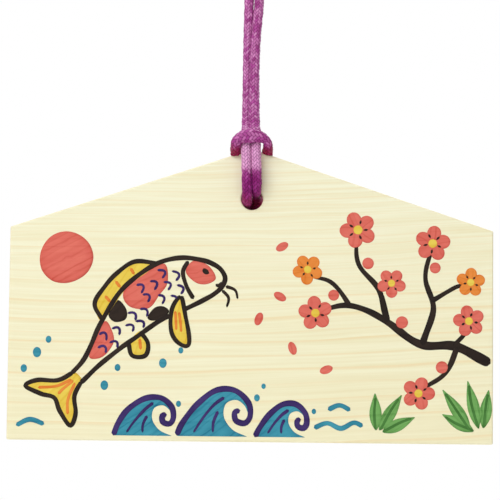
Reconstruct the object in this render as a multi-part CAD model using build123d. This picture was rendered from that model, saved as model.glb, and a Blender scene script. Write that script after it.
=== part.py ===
from build123d import *
import os
from math import cos, pi, radians, sin, tan

# Ema plaque: a house-shaped softwood board hung on one braided cord.
# Millimetres, +Z up. The front face looks towards -Y and the board's middle plane is y = 0.
# The origin is where a hook bears, in the top of the hanging eye.

# Board
BOARD_WIDTH = 150.0
WALL_HEIGHT = 66.0
ROOF_RISE = 25.0
BOARD_THICKNESS = 6.0
EDGE_EASE = 0.5
HOLE_DIAMETER = 6.8
HOLE_DROP = 15.7
RIM_EASE = 0.4

# Cord
CORD_DIAMETER = 3.0
KNOT_CORD_DIAMETER = 2.4
STRAND_GAP = 0.2
FACE_CLEARANCE = 0.15
THREAD_SAG = 0.6
FRONT_BULGE = 1.6
BACK_SLACK = 1.75
RUN_SHARE = 0.45

# Heights on the hanging line, from the hook
APEX_DROP = 64.0
STRAND_TOP_DROP = 16.0
EYE_TOP_RISE = 3.6
KNOT_NECK = 2.0

# Flex point above the hitch, about which the plaque swings
SWING_RISE = 14.0
SWING_CLEARANCE = 0.3

# Closing knot: an overhand knot tied in both ends at once.
# The pair runs nearly twice round a ring while it winds three times round the ring's own line.
KNOT_RING_RADIUS = 6.3
KNOT_WIND_RADIUS = 2.3
KNOT_CENTRE_X = -4.8
KNOT_CENTRE_Z = 14.4
KNOT_TILT = -15.0
KNOT_START = 10.0
KNOT_TRAVEL = 610.0
KNOT_STEPS = 21
WINDS_PER_TURN = 1.5
WIND_ZERO = -45.0
PAIR_PHASE = 45.0

strand_x = (CORD_DIAMETER + STRAND_GAP) / 2
cord_radius = CORD_DIAMETER / 2
apex_z = -APEX_DROP
swing_z = apex_z + SWING_RISE
strand_top_z = -STRAND_TOP_DROP
hole_z = apex_z - HOLE_DROP
face_y = BOARD_THICKNESS / 2 + cord_radius + FACE_CLEARANCE
thread_z = -HOLE_DROP - THREAD_SAG
stub_z = SWING_RISE - cord_radius - SWING_CLEARANCE

# Right half of the hitch, z from the apex: down the face in a slight bow, through the hole, round a slack bend and up
# the back, over the roof and round to the middle of the bight that crosses in front of the strands.
HITCH_HALF = [
    (strand_x, 0.0, stub_z),
    (strand_x, 0.0, 8.8),
    (strand_x, -face_y, 3.0),
    (strand_x, -face_y - 0.4, -0.5),
    (strand_x, -face_y - FRONT_BULGE, -6.0),
    (strand_x, -face_y - FRONT_BULGE + 0.3, thread_z + 5.5),
    (strand_x, 1.0 - face_y, thread_z + 0.9),
    (strand_x, 0.0, thread_z + 0.1),
    (strand_x, face_y - 2.2, thread_z - 0.2),
    (strand_x, face_y, thread_z - 0.7),
    (strand_x, face_y + BACK_SLACK, thread_z + 0.7),
    (1.7, face_y + BACK_SLACK, thread_z + 3.7),
    (2.6, face_y + 0.3, thread_z + 7.3),
    (4.4, face_y + 0.1, -5.2),
    (5.1, face_y + 0.2, -2.8),
    (5.1, face_y, -0.5),
    (5.1, face_y - 1.65, 0.75),
    (5.1, 0.4, 0.4),
    (5.1, -3.0, 0.4),
    (5.0, -5.2, 1.1),
    (4.6, -6.8, 2.4),
    (3.2, -7.4, 3.3),
    (1.3, -7.5, 3.6),
]

# Right side of the hanging eye, from the strand up to the knot.
EYE_SIDE = [
    (strand_x, 0.0, strand_top_z),
    (strand_x, 0.0, -12.4),
    (4.3, 0.0, -7.9),
    (4.3, 0.0, -4.3),
    (strand_x, 0.0, 0.2),
    (strand_x, 0.0, EYE_TOP_RISE),
]

# Each end's way into the knot and its tail out of it, from the knot's centre.
LEAD_RIGHT = [(7.1, 0.4, -5.0)]
LEAD_LEFT = [(4.4, 1.5, -5.6), (5.2, 2.5, -3.0)]
TAIL_RIGHT = [(1.4, -3.6, -5.9), (5.6, -3.9, -6.0), (9.8, -3.2, -7.0)]
TAIL_LEFT = [(0.6, -3.0, -8.9), (5.0, -3.6, -9.2), (9.0, -3.2, -10.6)]


def corner_radii(points):
    """The largest arcs that a cord's runs leave room for, one for each corner."""
    radii = []
    for index in range(1, len(points) - 1):
        run_in = Vector(points[index]) - Vector(points[index - 1])
        run_out = Vector(points[index + 1]) - Vector(points[index])
        half_turn = radians(run_in.get_angle(run_out)) / 2
        radii.append(RUN_SHARE * min(run_in.length, run_out.length) / tan(half_turn))
    return radii


def cord_tube(name, points, diameter):
    """A round cord swept along straight runs and tangent arcs."""
    radii = corner_radii(points)
    path = FilletPolyline(*points, radius=radii)
    start = Plane(origin=path @ 0, z_dir=path % 0)
    tube = sweep(start * Circle(diameter / 2), path=path)
    section = pi * diameter**2 / 4
    share = tube.volume / (section * path.length)
    print(name, "length", round(path.length, 1), "volume share", round(share, 4))
    print(name, "radii", [round(radius, 1) for radius in radii])
    return tube


def mirrored(points):
    return [(-x, y, z) for x, y, z in points]


def make_board():
    """The sawn and planed plaque with eased edges and one drilled hole."""
    half = BOARD_WIDTH / 2
    eave_z = apex_z - ROOF_RISE
    foot_z = eave_z - WALL_HEIGHT
    outline = Polyline(
        (-half, 0, foot_z),
        (half, 0, foot_z),
        (half, 0, eave_z),
        (0, 0, apex_z),
        (-half, 0, eave_z),
        close=True,
    )
    blank = extrude(make_face(outline), amount=BOARD_THICKNESS / 2, dir=(0, 1, 0), both=True)
    blank = fillet(blank.edges(), EDGE_EASE)
    bore_axis = Plane(origin=(0, 0, hole_z), z_dir=(0, 1, 0))
    board = blank - bore_axis * Cylinder(HOLE_DIAMETER / 2, BOARD_THICKNESS * 2)
    rims = board.edges().filter_by(GeomType.CIRCLE)
    rims = rims.filter_by(lambda edge: abs(edge.radius - HOLE_DIAMETER / 2) < RIM_EASE / 2)
    return fillet(rims, RIM_EASE)


def make_hitch():
    """The lark's head: both strands through the hole, and the bight across their front."""
    route = HITCH_HALF + mirrored(HITCH_HALF)[::-1]
    return cord_tube("hitch", [(x, y, apex_z + z) for x, y, z in route], CORD_DIAMETER)


def make_strand(x):
    """A straight strand, with a half ball at the flex point so that the hitch can swing under it."""
    height = strand_top_z - swing_z
    rod = Pos(x, 0, swing_z + height / 2) * Cylinder(cord_radius, height)
    return rod + Pos(x, 0, swing_z) * Sphere(cord_radius)


def knot_point(angle, phase):
    """A point on the knot's winding: angle round the ring, phase round the ring's own line."""
    reach = KNOT_RING_RADIUS + KNOT_WIND_RADIUS * cos(phase)
    turned = angle + radians(KNOT_TILT)
    return (reach * cos(turned), KNOT_WIND_RADIUS * sin(phase), reach * sin(turned))


def knot_route(side, lead, tail):
    """One end's route: up from the eye, round the knot beside its partner, and out as a tail."""
    winding = []
    for step in range(KNOT_STEPS):
        angle = radians(KNOT_START + KNOT_TRAVEL * step / (KNOT_STEPS - 1))
        phase = WINDS_PER_TURN * (angle - radians(WIND_ZERO)) - side * radians(PAIR_PHASE)
        winding.append(knot_point(angle, phase))
    shift = Vector(KNOT_CENTRE_X, 0, KNOT_CENTRE_Z)
    local = [tuple(Vector(point) + shift) for point in lead + winding + tail]
    neck = [(side * strand_x, 0.0, EYE_TOP_RISE), (side * strand_x, 0.0, EYE_TOP_RISE + KNOT_NECK)]
    return neck + local


nodes = {
    "board": make_board(),
    "hitch": make_hitch(),
    "strand_left": make_strand(-strand_x),
    "strand_right": make_strand(strand_x),
    "eye_left": cord_tube("eye_left", mirrored(EYE_SIDE), CORD_DIAMETER),
    "eye_right": cord_tube("eye_right", EYE_SIDE, CORD_DIAMETER),
    "knot_left": cord_tube("knot_left", knot_route(-1, LEAD_LEFT, TAIL_LEFT), KNOT_CORD_DIAMETER),
    "knot_right": cord_tube("knot_right", knot_route(1, LEAD_RIGHT, TAIL_RIGHT), KNOT_CORD_DIAMETER),
}

os.makedirs("parts", exist_ok=True)
for name, solid in nodes.items():
    export_step(solid, f"parts/{name}.step")
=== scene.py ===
# %% [markdown]
# # A wishing plaque on a braided cord
# The real object is a thin house-shaped board of pale softwood. A purple cord goes through a hole under its
# apex, loops over itself in a lark's head hitch and rises as two strands to the hook that it hangs from.
# The solids come from CAD and are the fixed frame here. This lesson keeps the board's solid, replaces the
# plain cord tubes by a braid, and adds the wood, the felt-pen drawing, the light and the camera.

import bpy
import numpy as np
from mathutils import Matrix, Vector


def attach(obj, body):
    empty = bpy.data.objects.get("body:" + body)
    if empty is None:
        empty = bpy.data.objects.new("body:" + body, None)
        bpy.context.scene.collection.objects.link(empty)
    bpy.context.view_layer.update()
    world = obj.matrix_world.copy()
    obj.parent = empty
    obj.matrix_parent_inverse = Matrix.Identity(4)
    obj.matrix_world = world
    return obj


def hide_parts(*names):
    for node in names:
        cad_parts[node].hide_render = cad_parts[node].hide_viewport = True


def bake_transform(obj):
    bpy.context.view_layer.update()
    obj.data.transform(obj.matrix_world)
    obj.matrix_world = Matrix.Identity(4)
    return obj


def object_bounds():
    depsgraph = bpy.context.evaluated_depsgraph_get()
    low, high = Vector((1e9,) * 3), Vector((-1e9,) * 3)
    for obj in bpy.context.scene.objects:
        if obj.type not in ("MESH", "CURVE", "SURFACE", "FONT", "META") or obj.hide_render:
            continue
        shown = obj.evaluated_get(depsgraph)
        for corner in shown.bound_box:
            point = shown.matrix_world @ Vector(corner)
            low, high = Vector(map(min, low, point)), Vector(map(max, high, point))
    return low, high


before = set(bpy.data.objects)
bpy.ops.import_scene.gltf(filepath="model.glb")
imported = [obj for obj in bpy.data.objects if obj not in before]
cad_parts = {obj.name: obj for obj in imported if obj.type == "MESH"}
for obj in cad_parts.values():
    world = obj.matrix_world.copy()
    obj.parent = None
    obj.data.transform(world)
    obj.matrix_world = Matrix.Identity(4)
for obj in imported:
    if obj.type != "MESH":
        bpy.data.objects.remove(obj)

cad_box = [list(corner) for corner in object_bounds()]
MM = 0.001
scene = bpy.context.scene
print("CAD box in mm:", np.round(np.array(cad_box) / MM, 1).tolist())

# %% [markdown]
# ## Colours and nodes
# Colours are picked as sRGB hex values, as a paint chart gives them, but shaders add and multiply light, so
# they need linear values. One function turns the one into the other. A second one adds a shader node, so
# that each material below reads as a short recipe: every input is either a plain value or a link from
# another node.

# %% Helpers for colours and nodes


def linear(hex_colour):
    """Linear colour of an sRGB hex value: c / 12.92 when dark, otherwise ((c + 0.055) / 1.055) ^ 2.4."""
    channel = np.array([int(hex_colour[at:at + 2], 16) for at in (1, 3, 5)]) / 255
    bright = ((channel + 0.055) / 1.055) ** 2.4
    return (*np.where(channel <= 0.04045, channel / 12.92, bright).tolist(), 1.0)


def add(tree, kind, inputs, **settings):
    """Adds a node, makes its settings, gives each named input a value or a link, and returns its outputs."""
    made = tree.nodes.new("ShaderNode" + kind)
    for name, value in settings.items():
        setattr(made, name, value)
    for key, value in inputs.items():
        if isinstance(value, bpy.types.NodeSocket):
            tree.links.new(value, made.inputs[key])
        else:
            made.inputs[key].default_value = value
    return made.outputs


def new_material(name):
    """An empty material and its node tree."""
    material = bpy.data.materials.new(name)
    material.use_nodes = True
    material.node_tree.nodes.clear()
    return material, material.node_tree


print("paint chart check, mid grey:", np.round(linear("#808080"), 3).tolist())

# %% [markdown]
# ## The camera
# The photograph is square and looks at the plaque from almost straight ahead, a little from below, with a
# long lens. The angles were solved from the five corners of the board: its real outline is known, so one
# place, one lens and a slight roll make the corners fall where the picture has them.

# %% Camera
AIM_MM = (-0.484, 0.0, -95.34)
DISTANCE_MM = 750.0
AZIMUTH, ELEVATION, ROLL = np.radians([0.536, -5.117, 0.639])
LENS_MM, SENSOR_MM = 173.3, 36.0

back = Vector((
    np.sin(AZIMUTH) * np.cos(ELEVATION),
    -np.cos(AZIMUTH) * np.cos(ELEVATION),
    np.sin(ELEVATION),
))
level_right = Vector((0, 0, 1)).cross(back).normalized()
level_up = back.cross(level_right)
right = level_right * np.cos(ROLL) + level_up * np.sin(ROLL)
up = level_up * np.cos(ROLL) - level_right * np.sin(ROLL)

lens = bpy.data.cameras.new("photo_camera")
lens.lens = LENS_MM
lens.sensor_width = SENSOR_MM
camera = bpy.data.objects.new("photo_camera", lens)
camera.matrix_world = Matrix((right, up, back)).transposed().to_4x4()
camera.location = (Vector(AIM_MM) + back * DISTANCE_MM) * MM
scene.collection.objects.link(camera)
scene.camera = camera
print("camera at mm:", [round(part / MM, 1) for part in camera.location])

# %% [markdown]
# ## The cord's route
# One length of cord makes everything: from the tail of one end through the closing knot, down one side of
# the hanging eye, along a strand, through the hole and over the roof as the bight of the hitch, and back
# the same way. It could be laid by eye, but the points are those of the CAD tubes, so the braid lies where
# the solids do. Some are moved to follow the real hitch: above it the strands lie a little behind each
# other and lean to the left, and below the bight they swell out. The right one enters the hole higher
# up, and the slack behind the hole hangs lower.

# %% Route of the hitch and the strands, in millimetres
APEX_Z = -64.0
STRAND_RIGHT = [(1.6, 0.0, 46.0), (0.45, -1.15, 34.0), (0.3, -1.15, 16.0), (0.25, -1.0, 9.0)]
FRONT_RIGHT = [
    (0.95, -4.5, 3.2), (1.05, -6.0, -1.0), (1.3, -7.1, -6.0), (1.45, -6.5, -10.4), (1.35, -4.8, -13.5),
]
BACK_RIGHT = [
    (1.3, -0.6, -14.1), (1.3, 1.8, -14.25), (1.35, 3.3, -14.6), (1.5, 4.5, -15.7), (1.55, 4.52, -17.2),
    (1.6, 4.55, -18.56), (1.6, 5.49, -19.5), (1.6, 6.81, -19.5), (1.65, 7.75, -18.56), (1.65, 7.85, -17.2),
    (1.7, 7.85, -15.4), (2.3, 6.6, -11.0), (3.6, 5.0, -7.0),
]
LEG_RIGHT = [
    (4.7, 4.9, -3.3), (4.7, 4.9, -0.9), (4.7, 3.6, 0.3),
    (4.7, 1.6, 0.15), (4.75, -2.2, -0.25), (4.8, -4.6, 0.0),
]
BIGHT = [
    (4.72, -6.35, 1.85), (3.35, -7.1, 3.0), (1.1, -7.3, 3.5),
    (-1.75, -7.3, 3.5), (-3.95, -7.1, 3.0), (-5.1, -6.35, 1.85),
]
LEG_LEFT = [
    (-5.15, -4.6, 0.0), (-5.15, -2.2, -0.25), (-5.1, 1.6, 0.15),
    (-5.1, 3.6, 0.3), (-5.1, 4.9, -0.9), (-5.1, 4.9, -3.3),
]
BACK_LEFT = [
    (-3.9, 5.0, -7.0), (-2.4, 6.6, -11.0), (-1.8, 7.85, -15.4), (-1.7, 7.85, -17.5), (-1.65, 7.8, -18.86),
    (-1.6, 6.86, -19.8), (-1.6, 5.54, -19.8), (-1.6, 4.6, -18.86), (-1.6, 4.5, -17.3), (-1.5, 3.2, -16.5),
    (-1.5, 1.0, -16.55),
]
FRONT_LEFT = [
    (-1.5, -4.3, -16.7), (-1.6, -6.4, -12.6), (-1.78, -7.1, -6.0), (-2.0, -6.0, -1.0), (-2.06, -4.5, 3.2),
]
STRAND_LEFT = [(-2.0, 0.9, 9.0), (-1.9, 1.15, 16.0), (-1.85, 1.15, 34.0), (-1.6, 0.0, 46.0)]

right_half = STRAND_RIGHT + FRONT_RIGHT + BACK_RIGHT + LEG_RIGHT
left_half = LEG_LEFT + BACK_LEFT + FRONT_LEFT + STRAND_LEFT
hitch_route = np.array(right_half + BIGHT + left_half) + (0, 0, APEX_Z)
print("route points of the hitch and the strands:", len(hitch_route))

# %% [markdown]
# ## The closing knot
# The two ends are tied together in one overhand knot. Here it is a formula: each end goes round a ring for
# 610 degrees and at the same time winds round the ring's own line, one and a half times in a turn. One end
# winds a quarter of a turn behind the other, so the two lie side by side all the way, which is hard to get
# by hand. The ring is wider than that of the CAD tubes, because a spline cuts its corners.

# %% Route of the eye and the knot, in millimetres
EYE_SIDE = [
    (1.6, 0.0, 5.6), (1.6, 0.0, 3.6), (1.6, 0.0, 0.2), (4.3, 0.0, -4.3), (4.3, 0.0, -7.9), (1.6, 0.0, -12.4),
]

KNOT_CENTRE = np.array([-4.8, 0.0, 14.4])
KNOT_RING, KNOT_WIND = 6.5, 2.45
KNOT_START, KNOT_END, KNOT_STEPS = 10.0, 620.0, 21
WINDS_PER_TURN = 1.5
WIND_ZERO, PAIR_PHASE, KNOT_TILT = np.radians([-45.0, 45.0, -15.0])
LEAD_RIGHT = [(7.1, 0.4, -5.0)]
LEAD_LEFT = [(4.4, 1.5, -5.6), (5.2, 2.5, -3.0)]
TAIL_RIGHT = [(1.4, -3.6, -5.9), (5.6, -3.9, -6.0), (9.8, -3.2, -7.0)]
TAIL_LEFT = [(0.6, -3.0, -8.9), (5.0, -3.6, -9.2), (9.0, -3.2, -10.6)]


def knot_winding(side):
    """An overhand knot in a pair: angle t round a ring, phase 1.5 (t + 45 deg) -+ 45 deg round its line."""
    angle = np.radians(np.linspace(KNOT_START, KNOT_END, KNOT_STEPS))
    phase = WINDS_PER_TURN * (angle - WIND_ZERO) - side * PAIR_PHASE
    reach = KNOT_RING + KNOT_WIND * np.cos(phase)
    turned = angle + KNOT_TILT
    return np.stack([reach * np.cos(turned), KNOT_WIND * np.sin(phase), reach * np.sin(turned)], axis=1)


end_right = np.concatenate([LEAD_RIGHT, knot_winding(1), TAIL_RIGHT]) + KNOT_CENTRE
end_left = np.concatenate([LEAD_LEFT, knot_winding(-1), TAIL_LEFT]) + KNOT_CENTRE
eye_right = np.array(EYE_SIDE)
eye_left = eye_right[::-1] * (-1, 1, 1)
route = np.concatenate([end_right[::-1], eye_right, hitch_route, eye_left, end_left])
print("route points in all:", len(route))

# %% [markdown]
# ## One smooth line
# A cord never has a corner. A NURBS spline of order 3 takes the route's points as control points and runs
# smoothly between them, and Blender itself hands back the points along it. They are then spaced evenly,
# because the braid's stitches are all equally long.

# %% Spline
POINTS_PER_RUN = 32


def smooth_line(points):
    """Points along the quadratic B-spline whose control points are given."""
    curve = bpy.data.curves.new("cord_line", "CURVE")
    curve.dimensions = "3D"
    curve.resolution_u = POINTS_PER_RUN
    spline = curve.splines.new("NURBS")
    spline.points.add(len(points) - 1)
    spline.points.foreach_set("co", np.c_[points, np.ones(len(points))].astype(np.float32).ravel())
    spline.order_u = 3
    spline.use_endpoint_u = True
    holder = bpy.data.objects.new("cord_line", curve)
    mesh = bpy.data.meshes.new_from_object(holder)
    line = np.zeros(len(mesh.vertices) * 3)
    mesh.vertices.foreach_get("co", line)
    bpy.data.objects.remove(holder)
    bpy.data.curves.remove(curve)
    bpy.data.meshes.remove(mesh)
    return line.reshape(-1, 3)


spline_line = smooth_line(route * MM)
print("points along the spline:", len(spline_line))

# %% Even spacing
RING_STEP = 0.16 * MM


def lengths_along(line):
    """Distance along a line at each of its points: the running sum of its steps."""
    return np.concatenate([[0.0], np.cumsum(np.linalg.norm(np.diff(line, axis=0), axis=1))])


def evenly(line, step):
    """The same line with points one step apart, read off at equal distances along it."""
    run = lengths_along(line)
    wanted = np.linspace(0, run[-1], int(round(run[-1] / step)) + 1)
    return np.stack([np.interp(wanted, run, line[:, axis]) for axis in range(line.shape[1])], axis=1)


cord_line = evenly(spline_line, RING_STEP)
cord_run = lengths_along(cord_line)
print("cord length in mm:", round(cord_run[-1] / MM, 1), "in", len(cord_line), "rings")

# %% [markdown]
# ## Directions round the line
# To carry a round section along the line, each ring needs two directions square to it. If each ring takes
# over the last one's direction and only drops the part that now points along the line, the section doesn't
# spin, and the braid keeps its own even twist.

# %% Frames along the cord


def carried_directions(line):
    """Unit tangents, and two unit normals that are carried along the line without twisting."""
    tangent = np.gradient(line, axis=0)
    tangent /= np.linalg.norm(tangent, axis=1, keepdims=True)
    side = np.zeros_like(line)
    last = np.cross(tangent[0], (0.0, 1.0, 0.0))
    for ring, along in enumerate(tangent):
        last = last - along * (last @ along)
        last = last / np.linalg.norm(last)
        side[ring] = last
    return tangent, side, np.cross(tangent, side)


cord_tangent, cord_side, cord_other = carried_directions(cord_line)
largest_lean = np.abs((cord_tangent[1:] * cord_side[:-1]).sum(1)).max()
print("largest lean between rings:", round(float(largest_lean), 4))

# %% [markdown]
# ## The braid
# Such cord is braided by 20 bobbins: ten yarns climb to the right and ten to the left, and each goes over
# two and under two of the others, so the surface is a field of short slanting stitches. Twenty tubes could
# be woven one by one, but they would be heavy and would cut each other in tight bends, so the braid is a
# relief on one surface. The yarns of each family are counted by one slanting coordinate. Their whole parts
# say which yarn it is and who lies on top, and their fractions say where on that stitch a point is: across
# it the yarn is round, and along it rises and dives.

# %% Braid relief
YARNS = 10
STITCH = 1.12 * MM
ACROSS_ROUND = 1.9
DIVE_HEIGHT, CROWN_RISE = 0.45, 0.55
CHANCE_YARN, CHANCE_STITCH, CHANCE_FAMILY, CHANCE_SPREAD = 12.9898, 78.233, 5, 43758.5


def braid(along, around):
    """Two-over-two braid: height 0 to 1 of the stitch on top, place across it, family, chance tone."""
    climbing = YARNS * around + along / STITCH
    falling = YARNS * around - along / STITCH
    climbing_yarn = np.floor(climbing)
    falling_yarn = np.floor(falling)
    climbs = np.mod(climbing_yarn + falling_yarn, 4) < 2
    across = np.where(climbs, climbing - climbing_yarn, falling - falling_yarn) - 0.5
    along_yarn = np.where(climbs, climbing_yarn + falling, climbing + falling_yarn - 2)
    travel = np.clip(np.mod(along_yarn, 4) / 2, 0, 1)
    bulge = np.sqrt(np.clip(1 - (ACROSS_ROUND * across) ** 2, 0, 1))
    crown = bulge * (DIVE_HEIGHT + CROWN_RISE * np.sin(np.pi * travel))
    yarn = np.where(climbs, climbing_yarn, falling_yarn)
    chance = CHANCE_YARN * yarn + CHANCE_STITCH * np.floor(along_yarn / 4) + CHANCE_FAMILY * climbs
    chance = np.sin(chance) * CHANCE_SPREAD
    return crown, across, climbs, chance - np.floor(chance)


sample = braid(np.linspace(0, 6 * MM, 400)[:, None], np.linspace(0, 1, 400)[None, :])[0]
print("mean stitch height:", round(float(sample.mean()), 3))

# %% [markdown]
# ## The cord's thickness
# The grid has one row for each ring and one column for each place round it. The knot is pulled tight, so
# the cord is thinner there and in its ends, and in the hole the two strands squeeze each other. At the two
# tails the section shrinks to a point, as a heat-sealed end does. A slow swelling along the cord keeps it
# from looking machined.

# %% Radius of each ring
CORD_RADIUS, KNOT_RADIUS = 1.56 * MM, 1.26 * MM
NECK_HEIGHT, TIGHT_END = (2.5, 8.0), (60.0, 50.0)
HOLE_DEPTH, HOLE_HEIGHT = (4.0, 2.4), (-75.0, -77.0)
HOLE_SQUEEZE = 0.07
TAIL_ROUND, TAIL_TIP = 1.1, 0.02
UNEVEN = [(0.025, 4.3, 0.0), (0.02, 2.9, 1.0)]


def ease(value, start, end):
    """Smooth step from 0 at start to 1 at end, whichever is larger: t t (3 - 2 t)."""
    t = np.clip((value - start) / (end - start), 0, 1)
    return t * t * (3 - 2 * t)


line_x, line_y, line_z = (cord_line / MM).T
half_length = cord_run[-1] / 2
from_end = (half_length - np.abs(cord_run - half_length)) / MM
tight = np.maximum(ease(line_z, *NECK_HEIGHT), ease(from_end, *TIGHT_END))
in_hole = ease(np.abs(line_y), *HOLE_DEPTH) * ease(line_z, *HOLE_HEIGHT)
tail = np.sqrt(np.clip(1 - (1 - np.clip(from_end / TAIL_ROUND, 0, 1)) ** 2, 0, 1))
tube_radius = CORD_RADIUS + (KNOT_RADIUS - CORD_RADIUS) * tight
tube_radius = tube_radius * np.maximum(tail, TAIL_TIP) * (1 - HOLE_SQUEEZE * in_hole)
for share, period, start in UNEVEN:
    tube_radius = tube_radius * (1 + share * np.sin(2 * np.pi * cord_run / (period * MM) + start))
diameters = 2 / MM * np.array([tube_radius.max(), np.median(tube_radius)])
print("thickest and middling diameter in mm:", np.round(diameters, 2).tolist())

# %% Rings of the braid
AROUND = 84
RELIEF = 0.22 * MM

around = np.linspace(0, 1, AROUND, endpoint=False)[None, :]
stitch_height, stitch_across, stitch_climbs, stitch_chance = braid(cord_run[:, None], around)
relief = RELIEF * (tube_radius / CORD_RADIUS)[:, None]
radius = tube_radius[:, None] - relief * (1 - stitch_height)
turn = 2 * np.pi * around[:, :, None]
offset = radius[:, :, None] * (np.cos(turn) * cord_side[:, None, :] + np.sin(turn) * cord_other[:, None, :])
print("rings, and places round each:", offset.shape[:2])

# %% [markdown]
# ## Where the cord is pressed
# A soft cord gives way. The bight is pressed on the strands that it crosses, so there it is taller and
# thinner front to back, and it is pinched where it folds at its two shoulders. Above the hitch the right
# strand leans on the left one and widens. In the hole the rim squeezes it, and behind the hole both strands
# lie flat on the wood. A simulation of soft cord could find such shapes, but given shares keep to the real
# one and come out the same on each run. Each change is a share by which the section grows along some
# axes, times a weight along the cord.

# %% Pressed and pinched sections
BIGHT_TALLER, BIGHT_THINNER, BIGHT_REACH = 0.32, 0.24, 3.6
SHOULDER_PINCH, SHOULDER_AT, SHOULDER_REACH = 0.12, 4.8, 1.7
RIGHT_LEG_FULLER, LEFT_LEG_FULLER, LEG_REACH = 0.03, 0.2, 13.0
FRONT_FULLER, FRONT_DEPTH, FRONT_FROM = 0.04, (-4.0, -6.0), 26.0
LEAN_WIDER, LEAN_TOP, LEAN_FOOT, LEAN_FROM = 0.2, (24.0, 9.0), (3.0, 6.0), 30.0
RIM_SQUEEZE = 0.35
BACK_WIDER, BACK_THINNER, BACK_DEPTH, BACK_HEIGHT = 0.08, 0.12, (3.2, 4.2), (-12.0, -15.0)
LEFT_TO_RIGHT, RIGHT_TO_LEFT = (-1.0, 1.0), (2.0, -4.0)

bight_ring = np.argmin(line_y)
on_right, on_left = cord_run < cord_run[bight_ring], cord_run > cord_run[bight_ring]
from_middle = np.abs(cord_run - cord_run[bight_ring]) / MM
from_apex = line_z - APEX_Z
pressed = np.exp(-(from_middle / BIGHT_REACH) ** 2)
shoulder = np.exp(-((from_middle - SHOULDER_AT) / SHOULDER_REACH) ** 2)
fuller = RIGHT_LEG_FULLER + (LEFT_LEG_FULLER - RIGHT_LEG_FULLER) * ease(line_x, *RIGHT_TO_LEFT)
in_front = ease(line_y, *FRONT_DEPTH) * (from_middle > FRONT_FROM)
leaning = ease(from_apex, *LEAN_TOP) * ease(from_apex, *LEAN_FOOT) * on_right * (from_middle > LEAN_FROM)
in_rim = in_hole * ease(line_x, *LEFT_TO_RIGHT)
behind = ease(line_y, *BACK_DEPTH)
behind_hole = behind * ease(from_apex, *BACK_HEIGHT)

section_changes = [
    ([2], BIGHT_TALLER, pressed),
    ([1], -BIGHT_THINNER, pressed),
    ([0, 2], -SHOULDER_PINCH, shoulder),
    ([0, 1, 2], fuller, np.exp(-(from_middle / LEG_REACH) ** 4)),
    ([0, 1, 2], FRONT_FULLER, in_front),
    ([0], LEAN_WIDER, leaning),
    ([2], -RIM_SQUEEZE, in_rim),
    ([0], BACK_WIDER, behind_hole),
    ([1], -BACK_THINNER, behind_hole),
]
for axes, share, weight in section_changes:
    offset[:, :, axes] *= 1 + (share * weight)[:, None, None]
print("bight's middle in mm:", np.round(cord_line[bight_ring] / MM, 2).tolist())

# %% [markdown]
# ## Where the cord lies on the roof
# On its way over the roof the cord sags on the wood, spreads and goes flat. The surface under it is known,
# so each point that would lie lower is lifted to a hair above the wood, and the ones beside it move
# outwards.

# %% Flattened on the roof
ROOF_SLOPE, ROOF_REACH = 25 / 75, 19.0
ROOF_SAG, SAG_DEPTH = 0.5, (4.2, 2.8)
ROOF_SPREAD, SPREAD_HEIGHT = 0.25, -1.8 * MM
PRESS_GAP = 0.03 * MM
ROOF_EDGE, EDGE_FALL = (3.0 * MM, 4.5 * MM), 2 * MM


def roof_under(points):
    """Height of the roof under each point, a hair higher, falling away in front of and behind the board."""
    slope = APEX_Z * MM - np.abs(points[:, :, 0]) * ROOF_SLOPE + PRESS_GAP
    return slope - ease(np.abs(points[:, :, 1]), *ROOF_EDGE) * EDGE_FALL


over_roof = (from_middle < ROOF_REACH)[:, None]
sagging = ease(np.abs(line_y), *SAG_DEPTH)[:, None] * over_roof
offset[:, :, 2] *= 1 + ROOF_SAG * sagging * (offset[:, :, 2] < 0)
cord_grid = cord_line[:, None, :] + offset
low = ease(roof_under(cord_grid) - cord_grid[:, :, 2], SPREAD_HEIGHT, 0.0) * over_roof
cord_grid[:, :, 0] += ROOF_SPREAD * low * offset[:, :, 0]
flattened = np.maximum(cord_grid[:, :, 2], roof_under(cord_grid))
lifted = over_roof & (flattened > cord_grid[:, :, 2])
cord_grid[:, :, 2] = np.where(over_roof, flattened, cord_grid[:, :, 2])
print("points pressed flat on the roof:", int(lifted.sum()))

# %% [markdown]
# ## Painted highlight and painted shade
# The cord's colour carries painted light. A painted highlight makes it paler where it bulges towards the
# lamp: fully on the upper part of the front strands, half as much on the rising strands, less round the
# bight, not at all low in front, and a little more on the left. It goes by whole stitches: the stronger the
# highlight along a stretch, the more of its stitches have gone pale. So the highlight along the cord is
# compared with each stitch's luck, and a share of it is even. Painted shade turns the cord wine red where
# it lies over the roof, in the hole, more on the right there, and behind the board, and over the roof and
# behind the board there is no highlight. It could be painted by hand, but a rule for each stitch fits the
# braid everywhere.

# %% Painted highlight and shade along the cord
# Where the painted shade and the painted highlight lie along the cord, in mm.
ROOF_SHADE_START, ROOF_SHADE_END = (4.5, 8.0), (24.0, 18.0)
RIM_SHADE, RIM_SHADE_LEFT_LESS = (-13.0, -15.5), 0.5
BACK_SHADE = 0.6
LIT_FRONT, LIT_TOP, LIT_TOP_LESS = (-10.0, -4.5), (2.5, 7.0), 0.5
BIGHT_LESS, BIGHT_LESS_REACH = 0.6, 15.0
LEFT_MORE = 1.12
EVEN_HIGHLIGHT, FLECKED_HIGHLIGHT = 0.45, 0.55
FLECK_SHARE, FLECK_EDGE = 1.3, (-0.1, 0.35)
PALE_LEAST, PALE_IN_FRONT = 0.6, 0.2
LUCK_STEP, TONE_STEP = 7.13, 3.7

# Painted shade: wine red over the roof, in the hole (more on its right side) and behind the board.
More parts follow.
